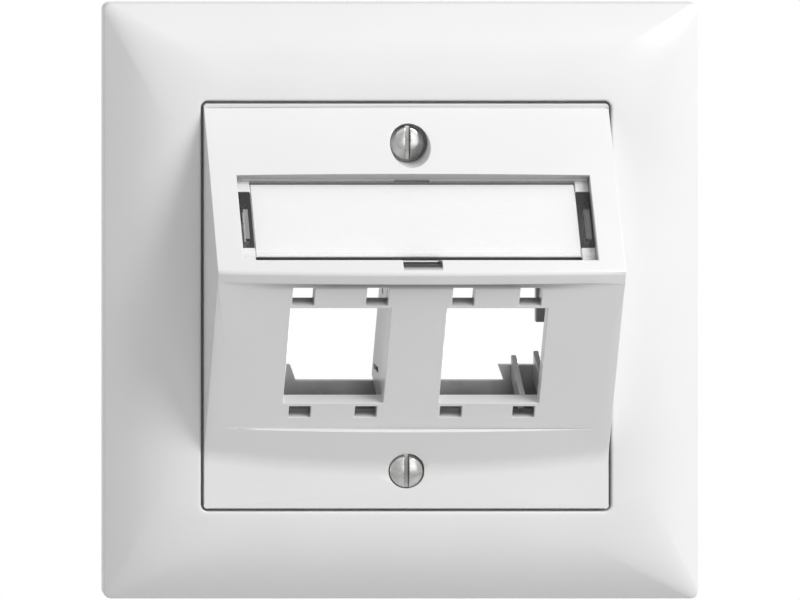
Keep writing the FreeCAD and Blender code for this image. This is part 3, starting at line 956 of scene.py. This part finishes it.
    def rib_profile(self) -> list[Pair]:
        """Lay out the side of a rib that reaches into the collar, crown and skirt by its root.

        Returns:
            Places up from the middle and heights off the wall.
        """
        root, foot = self.rib_root, self.ledge_back + self.rib_root
        collar = self.window_half + self.collar_wall - root
        roof = [(place, out + root) for place, out in self.hollow_steps(self.rib_steps)]
        skirt = roof[-1][0] + root
        return [(self.window_half, self.rib_back), (self.window_half, foot), (collar, foot),
                (collar, roof[0][1]), *roof[1:-1], (skirt, roof[-1][1]), (skirt, self.rib_back)]

    def model_ribs(self) -> Piece:
        """Model one rib, and copy it to eight places round the frame.

        Returns:
            The ribs, joined in one mesh.
        """
        profile = self.rib_profile()
        deselect_everything()
        bpy.ops.mesh.primitive_circle_add(vertices=len(profile), radius=MM, fill_type="NGON")
        rib = bpy.context.object
        for vertex, (place, out) in zip(rib.data.vertices, profile, strict=True):
            vertex.co = Vector((-self.rib_thickness / 2, -out, place)) * MM
        switch_mode("EDIT")
        bpy.ops.mesh.select_all(action="SELECT")
        bpy.ops.mesh.extrude_region_move(
            TRANSFORM_OT_translate={"value": (self.rib_thickness * MM, 0.0, 0.0)})
        bpy.ops.mesh.select_all(action="SELECT")
        bpy.ops.mesh.normals_make_consistent(inside=False)
        switch_mode("OBJECT")
        back = (self.rib_back + SLACK) * MM
        round_edges(rib, self.chamfer, lambda first, last, angle: (
            angle > self.rib_sharp and max(-first.y, -last.y) < back))
        copies = []
        for quarter in range(4):
            for side in (-1, 1):
                copy = duplicate(rib)
                turn = Matrix.Rotation(math.pi / 2 * quarter, 4, "Y")
                shift = Matrix.Translation((side * self.rib_offset * MM, 0.0, 0.0))
                copy.data.transform(turn @ shift)
                copies.append(copy)
        bpy.data.objects.remove(rib)
        pick(copies[0])
        for copy in copies:
            copy.select_set(True)
        bpy.ops.object.join()
        return bpy.context.object


@dataclass
class OutletHood:
    """The insert with its hood, with softened edges and a little more air round it.

    Its sides are set in by air, and edges that turn past sharp and reach short are softened.
    """

    finishes: Finishes
    node: str = "outlet_hood"
    air: float = 0.1
    edge_width: float = 0.15
    sharp: float = 20.0
    short: float = 0.3

    def build(self) -> None:
        """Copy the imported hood, set its sides in, round its edges and dress it."""
        piece = copy_of_node(self.node, "outlet_hood_moulding")
        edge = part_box(self.node)[1].x - self.air * MM
        for vertex in piece.data.vertices:
            vertex.co.x = min(max(vertex.co.x, -edge), edge)
            vertex.co.z = min(max(vertex.co.z, -edge), edge)
        round_edges(piece, self.edge_width, sharp_edges(self.sharp, self.short))
        smooth_faces(piece)
        dress(piece, Body.FACEPLATE, self.finishes.hood, self.node)


@dataclass
class SlottedScrew:
    """A cheese-head screw with a domed top, a straight slot and a cut thread.

    The thread runs between root_radius and shank_radius, and tapers over tip_length.
    """

    finishes: Finishes
    nodes: tuple[str, str] = ("upper_screw", "lower_screw")
    head_radius: float = 2.5
    head_height: float = 1.3
    dome_rise: float = 0.6
    dome_steps: int = 7
    slot_width: float = 0.7
    slot_depth: float = 0.9
    slot_length: float = 8.0
    saw_height: float = 2.0
    edge_width: float = 0.06
    root_radius: float = 1.2
    shank_radius: float = 1.45
    pitch: float = 0.5
    rings_a_pitch: int = 6
    tip_inset: float = 0.3
    tip_length: float = 0.35
    tip_slope: float = 0.6
    sides: int = 64
    sharp: float = 40.0
    smooth_angle: float = 35.0

    def __post_init__(self) -> None:
        """Take the first screw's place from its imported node."""
        low, high = (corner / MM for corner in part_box(self.nodes[0]))
        self.axis = Vector(((low.x + high.x) / 2, 0.0, (low.z + high.z) / 2))
        self.top = -low.y
        self.tip = -high.y
        self.seat = self.top - self.dome_rise - self.head_height

    def build(self) -> None:
        """Model the first screw, copy it for the second, and dress both."""
        first = self.turn_head(self.nodes[0] + "_turned")
        self.cut_slot(first)
        round_edges(first, self.edge_width, sharp_edges(self.sharp))
        self.draw_shank(first)
        self.cut_thread(first)
        smooth_faces(first, self.smooth_angle)
        second = duplicate(first)
        second.name = self.nodes[1] + "_turned"
        second.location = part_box(self.nodes[1])[0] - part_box(self.nodes[0])[0]
        bpy.ops.object.transform_apply()
        for piece, node in zip((first, second), self.nodes):
            dress(piece, Body.FACEPLATE, self.finishes.nickel, node)

    def turn_head(self, name: str) -> Piece:
        """Make the head from a cylinder whose front is inset and raised step by step.

        Args:
            name: The piece's name.

        Returns:
            The head.
        """
        deselect_everything()
        middle = self.axis - Vector((0.0, self.seat + self.head_height / 2, 0.0))
        bpy.ops.mesh.primitive_cylinder_add(vertices=self.sides, radius=self.head_radius * MM,
                                            depth=self.head_height * MM, location=middle * MM,
                                            rotation=(math.pi / 2, 0, 0))
        piece = bpy.context.object
        piece.name = name
        bpy.ops.object.transform_apply()
        self.pick_end(piece, -1)
        switch_mode("EDIT")
        before, height = self.head_radius, 0.0
        last = math.pi / 2 * self.dome_steps / (self.dome_steps + 1)
        for step in range(1, self.dome_steps + 1):
            angle = last * step / self.dome_steps
            radius = self.head_radius * math.cos(angle)
            rise = self.dome_rise * math.sin(angle) / math.sin(last)
            bpy.ops.mesh.inset(thickness=(before - radius) * MM, depth=0.0)
            bpy.ops.transform.translate(value=(0.0, (height - rise) * MM, 0.0))
            before, height = radius, rise
        switch_mode("OBJECT")
        return piece

    def pick_end(self, piece: Piece, side: int) -> None:
        """Select the flat face at one end.

        Args:
            piece: The screw.
            side: -1 for the front end, 1 for the back.
        """
        pick(piece)
        mesh = piece.data
        clear_selection(mesh)
        facing = [face for face in mesh.polygons if face.normal.y * side > FACING]
        end = max(facing, key=lambda face: face.center.y * side)
        end.select = True
        for index in end.vertices:
            mesh.vertices[index].select = True

    def cut_slot(self, piece: Piece) -> None:
        """Saw the slot across the head.

        Args:
            piece: The screw.
        """
        deselect_everything()
        middle = self.top - self.slot_depth + self.saw_height / 2
        bpy.ops.mesh.primitive_cube_add(size=MM,
                                        location=(self.axis - Vector((0.0, middle, 0.0))) * MM)
        saw = bpy.context.object
        saw.scale = (self.slot_width, self.saw_height, self.slot_length)
        bpy.ops.object.transform_apply()
        unite(piece, "DIFFERENCE", saw)

    def draw_shank(self, piece: Piece) -> None:
        """Draw the shank out of the back of the head, ring by ring.

        Args:
            piece: The screw.
        """
        self.pick_end(piece, 1)
        switch_mode("EDIT")
        bpy.ops.mesh.select_mode(type="FACE")
        shoulder = self.head_radius - self.edge_width - self.shank_radius
        bpy.ops.mesh.inset(thickness=shoulder * MM, depth=0.0)
        length = self.seat - self.tip
        rings = round(length / self.pitch * self.rings_a_pitch)
        for _ in range(rings):
            bpy.ops.mesh.extrude_region_move(
                TRANSFORM_OT_translate={"value": (0.0, length / rings * MM, 0.0)})
        bpy.ops.mesh.inset(thickness=self.tip_inset * MM, depth=0.0)
        switch_mode("OBJECT")

    def cut_thread(self, piece: Piece) -> None:
        """Move the shank's surface in and out along a helix, and taper its tip.

        Args:
            piece: The screw.
        """
        for vertex in piece.data.vertices:
            place = vertex.co / MM - self.axis
            radius = math.hypot(place.x, place.z)
            below = self.seat + place.y
            if below <= SLACK or radius < self.shank_radius - SLACK:
                continue
            turn = math.atan2(place.z, place.x) / (2 * math.pi)
            wave = abs((below / self.pitch - turn) % 1.0 - 0.5) * 2
            thread = self.shank_radius - self.root_radius
            depth = thread * wave * min(1.0, below / self.pitch)
            to_tip = self.seat - self.tip - below
            taper = max(0.0, self.tip_length - to_tip) * self.tip_slope
            share = (self.shank_radius - max(depth, taper)) / radius
            vertex.co = (self.axis + Vector((place.x * share, place.y, place.z * share))) * MM


@dataclass
class LabelWindow:
    """The clear pane over the label, with its polished edges and its two clip arms under it."""

    finishes: Finishes
    node: str = "label_window"
    arm_shift: float = 0.35
    pane_back: float = -1.5
    edge_width: float = 0.08
    sharp: float = 40.0
    short: float = 0.3

    def build(self) -> None:
        """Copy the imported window, set its arms out, round its edges and dress it."""
        piece = copy_of_node(self.node, "label_window_pane")
        normal = Vector(Slope.UPPER.value[1])
        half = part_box(self.node)[1].x
        for side in (-1, 1):
            pick(piece)
            clear_selection(piece.data)
            for vertex in piece.data.vertices:
                off = (vertex.co / MM - RIDGE).dot(normal)
                inner = half - abs(vertex.co.x) > SLACK * MM
                under = off < self.pane_back + SLACK
                vertex.select = vertex.co.x * side > 0 and inner and under
            switch_mode("EDIT")
            bpy.ops.transform.translate(value=(side * self.arm_shift * MM, 0.0, 0.0))
            switch_mode("OBJECT")
        round_edges(piece, self.edge_width, sharp_edges(self.sharp, self.short))
        smooth_faces(piece)
        dress(piece, Body.WINDOW, self.finishes.clear, self.node)


@dataclass
class MountingPlate:
    """The sheet metal plate behind the insert, with its punched edges softened."""

    finishes: Finishes
    node: str = "mounting_plate"
    edge_width: float = 0.12
    sharp: float = 40.0
    short: float = 0.2

    def build(self) -> None:
        """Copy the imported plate, round its edges and dress it."""
        piece = copy_of_node(self.node, "mounting_plate_pressing")
        round_edges(piece, self.edge_width, sharp_edges(self.sharp, self.short))
        smooth_faces(piece)
        dress(piece, Body.FACEPLATE, self.finishes.zinc, self.node)


@dataclass
class LabelStrip:
    """The blank card strip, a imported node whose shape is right."""

    finishes: Finishes
    node: str = "label_strip"

    def build(self) -> None:
        """Put the card finish on the node's own slot."""
        frame["nodes"][self.node].data.materials[0] = self.finishes.card
        log.info("%s: finish %s", self.node, self.finishes.card.name)


# Stage


@dataclass
class ObliqueCamera:
    """Long lens whose picture stays parallel to the wall while it looks on from the upper left.

    The eye moves left and up by offset for each millimetre off the wall.
    """

    distance: float = 1800.0
    offset: float = 0.15
    centre_x: float = 0.198
    centre_z: float = -0.204
    picture_width: float = 118.34
    sensor: float = 36.0

    def build(self) -> None:
        """Make the camera the scene's own, on a mast that leans its view and not its picture."""
        reach = math.sqrt(1 + 2 * self.offset ** 2)
        data = bpy.data.cameras.new("camera")
        data.sensor_width = self.sensor
        data.lens = self.sensor * self.distance * reach / self.picture_width
        camera = bpy.data.objects.new("camera", data)
        mast = bpy.data.objects.new("camera_mast", None)
        for item in (camera, mast):
            bpy.context.scene.collection.objects.link(item)
        back = Vector((-self.offset, -1, self.offset))
        lean = Matrix(((1, 0, 0), (0, 0, 1), back / reach)).transposed().to_4x4()
        lean.translation = (Vector((self.centre_x, 0, self.centre_z)) + back * self.distance) * MM
        camera.parent = mast
        camera.matrix_parent_inverse = lean
        bpy.context.scene.camera = camera


@dataclass
class SoftBox:
    """One square area lamp aimed at the faceplate, with angles in degrees and sizes in metres."""

    name: str
    azimuth: float
    elevation: float
    power: float
    size: float = 0.6
    distance: float = 1.2

    def build(self) -> None:
        """Place the lamp on a sphere round the origin."""
        data = bpy.data.lights.new(self.name, "AREA")
        data.shape = "SQUARE"
        data.size = self.size
        data.energy = self.power
        lamp = bpy.data.objects.new(self.name, data)
        bpy.context.scene.collection.objects.link(lamp)
        turn, rise = math.radians(self.azimuth), math.radians(self.elevation)
        level = math.cos(rise)
        toward = Vector((math.sin(turn) * level, -math.cos(turn) * level, math.sin(rise)))
        lamp.location = toward * self.distance
        lamp.rotation_mode = "QUATERNION"
        lamp.rotation_quaternion = toward.to_track_quat("Z", "Y")


@dataclass
class Stage:
    """White surroundings, a pale floor well below the faceplate, and the lamps; in metres.

    The floor glows by floor_glow to the eye and to gloss, and to nothing else.
    """

    ambient: float = 0.15
    floor_drop: float = 0.5
    floor_side: float = 3.0
    floor_cloud: Pair = (3.0, 2.0)
    floor_tones: Pair = (0.78, 0.8)
    floor_roughness: float = 0.9
    floor_glow: float = 0.4
    lamps: tuple[SoftBox, ...] = (
        SoftBox("key_lamp", 45.0, 35.0, 11.3), SoftBox("right_lamp", 75.0, 35.0, 3.0),
        SoftBox("upper_lamp", -15.0, 35.0, 0.5), SoftBox("front_lamp", 15.0, 5.0, 1.6),
        SoftBox("left_lamp", -75.0, 5.0, 1.7), SoftBox("side_lamp", -75.0, 35.0, 2.3),
        SoftBox("rear_lamp", 160.0, -12.0, 3.2, size=0.4))

    def build(self) -> None:
        """Build the world, floor and lamps."""
        self.make_world()
        self.make_floor()
        for lamp in self.lamps:
            lamp.build()

    def make_world(self) -> None:
        """White to the eye and to gloss, and an even soft light to everything else."""
        world = bpy.data.worlds.new("studio")
        bpy.context.scene.world = world
        world.use_nodes = True
        board = NodeBoard(world.node_tree)
        soft, white = (board.add("ShaderNodeBackground", Color=WHITE,
                                 Strength=strength).outputs["Background"]
                       for strength in (self.ambient, 1.0))
        board.add("ShaderNodeOutputWorld", Surface=board.mix(board.direct_rays(), soft, white))

    def make_floor(self) -> None:
        """Pale floor under the faceplate, out of the camera's view."""
        deselect_everything()
        bpy.ops.mesh.primitive_plane_add(size=self.floor_side, location=(0, 0, -self.floor_drop))
        floor = bpy.context.object
        floor.name = "floor"
        sheet = NodeSheet("pale_floor")
        dark, pale = ((tone,) * 3 for tone in self.floor_tones)
        sheet.surface(Base_Color=sheet.tint(sheet.noise(*self.floor_cloud), dark, pale),
                      Roughness=self.floor_roughness)
        lit = sheet.shader.outputs["BSDF"]
        glow = sheet.add("ShaderNodeEmission", Color=WHITE, Strength=self.floor_glow)
        paler = sheet.add("ShaderNodeAddShader")
        sheet.feed(paler.inputs[0], lit)
        sheet.feed(paler.inputs[1], glow.outputs["Emission"])
        sheet.feed(sheet.output.inputs["Surface"],
                   sheet.mix(sheet.direct_rays(), lit, paler.outputs["Shader"]))
        floor.data.materials.append(sheet.material)


def main() -> None:
    """Build every piece in order, then the stage."""
    logging.basicConfig(level=logging.INFO, format="%(name)s: %(message)s")
    bpy.context.scene.view_settings.view_transform = "Standard"
    finishes = Finishes()
    for kind in (CoverFrame, OutletHood, SlottedScrew, LabelStrip, LabelWindow, MountingPlate):
        kind(finishes).build()
    Stage().build()
    ObliqueCamera().build()
    deselect_everything()


if __name__ == "__main__":
    main()
